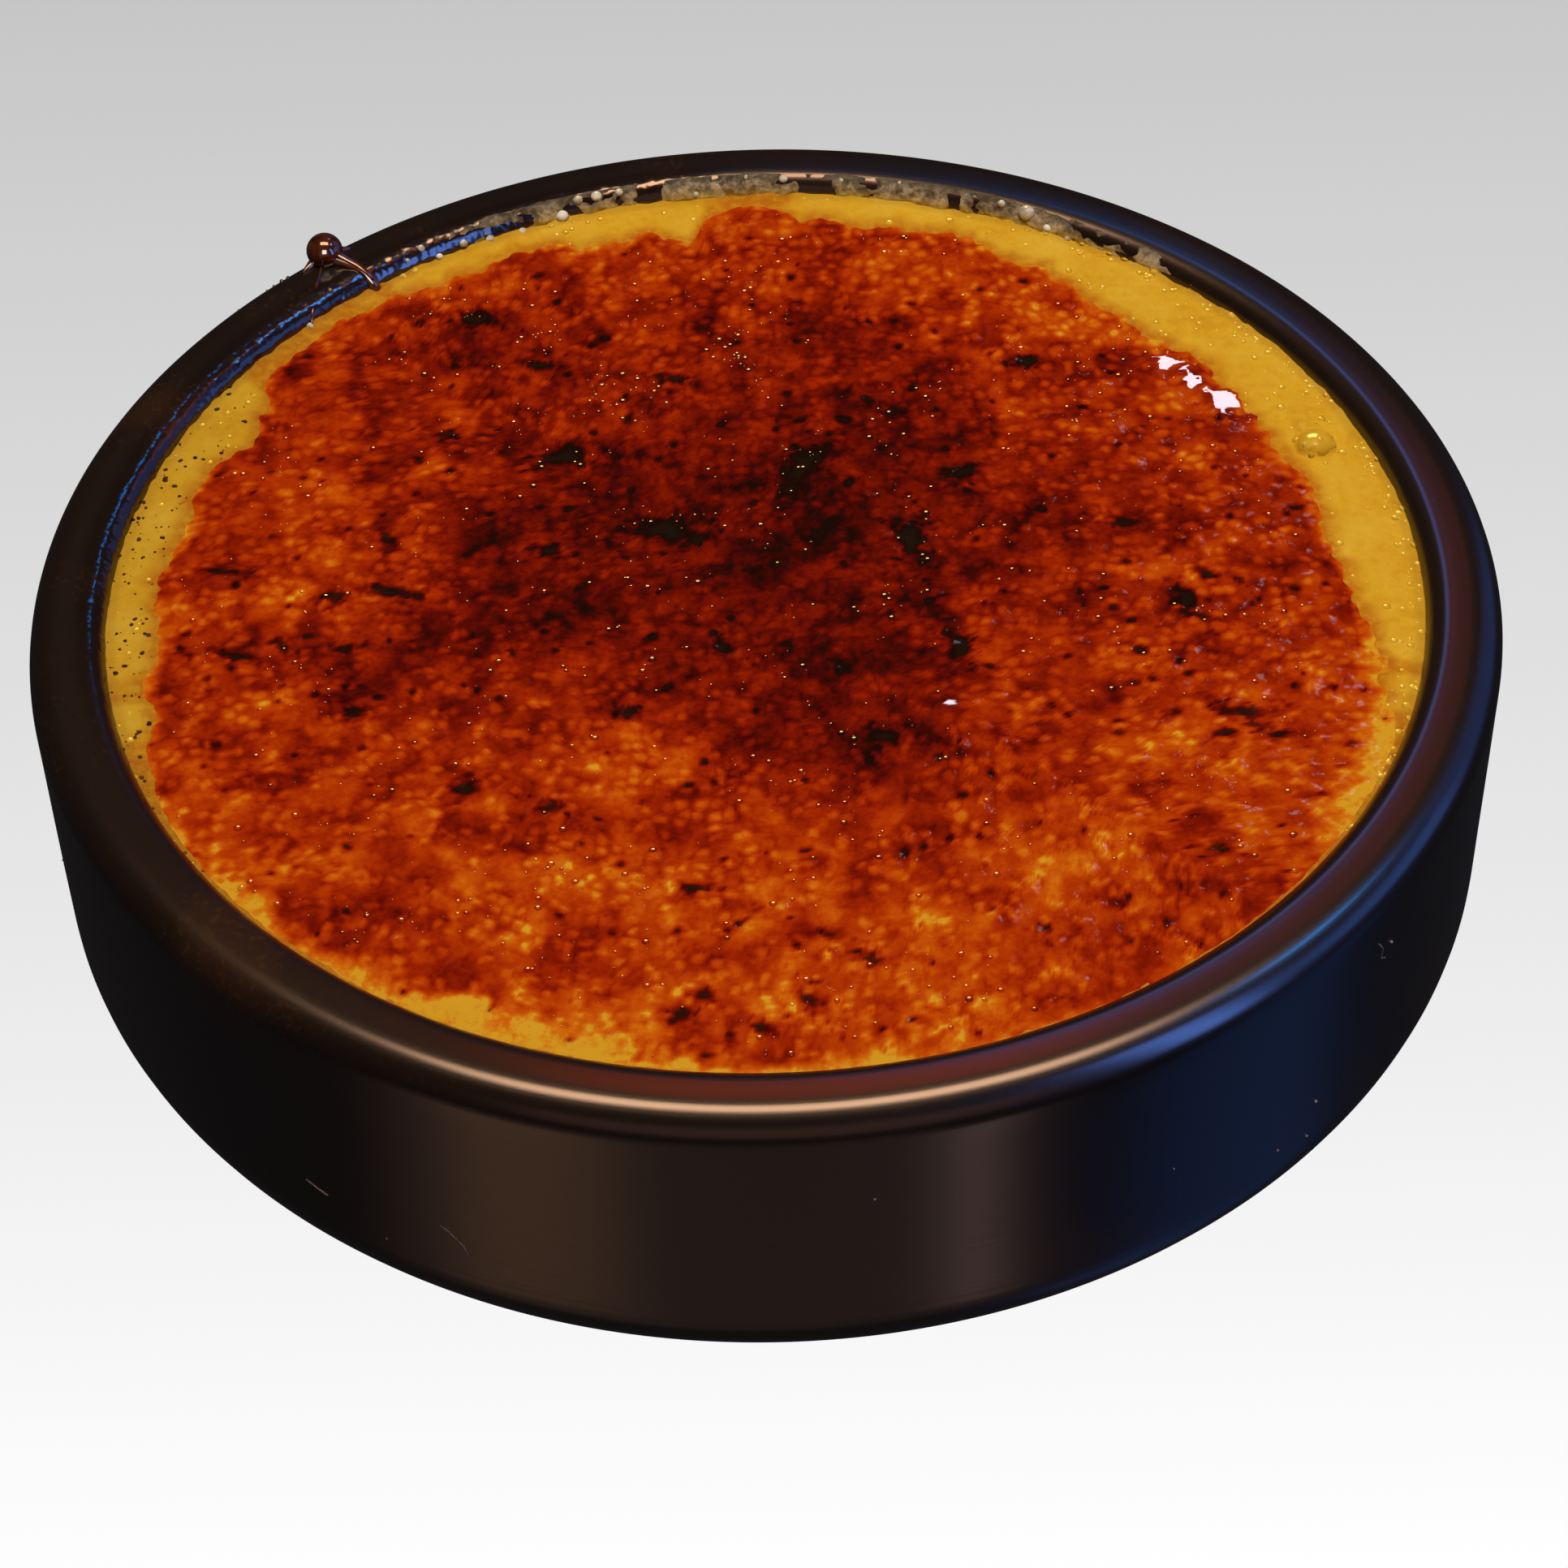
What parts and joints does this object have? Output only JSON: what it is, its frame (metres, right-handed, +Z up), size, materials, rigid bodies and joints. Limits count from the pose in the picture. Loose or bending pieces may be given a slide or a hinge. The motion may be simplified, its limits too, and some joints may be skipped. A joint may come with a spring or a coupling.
{
  "type": "creme brulee in a round dish",
  "caption": "Baked custard dessert under a burnt caramel crust, in the low round dark stoneware dish that it is served in.",
  "frame": {"origin": "centre of the dish's flat foot, on the surface it stands on", "axes": "+Z up, +Y away from the side that the pictures face, +X to the right"},
  "size_m": [0.12, 0.12, 0.0319],
  "materials": {
    "dark_glaze": "dark bronze-brown satin glaze with fine speckle and faint scratches",
    "baked_custard": "moist baked egg custard, deep yellow, softly puffed and pitted",
    "burnt_caramel": "translucent amber to near-black burnt sugar, glassy and pebbled",
    "dark_caramel": "dark brown burnt sugar bead"
  },
  "bodies": {
    "root": {"dish": "dark_glaze", "custard": "baked_custard", "caramel_crust": "burnt_caramel", "caramel_drip": "dark_caramel"}
  },
  "joints": []
}
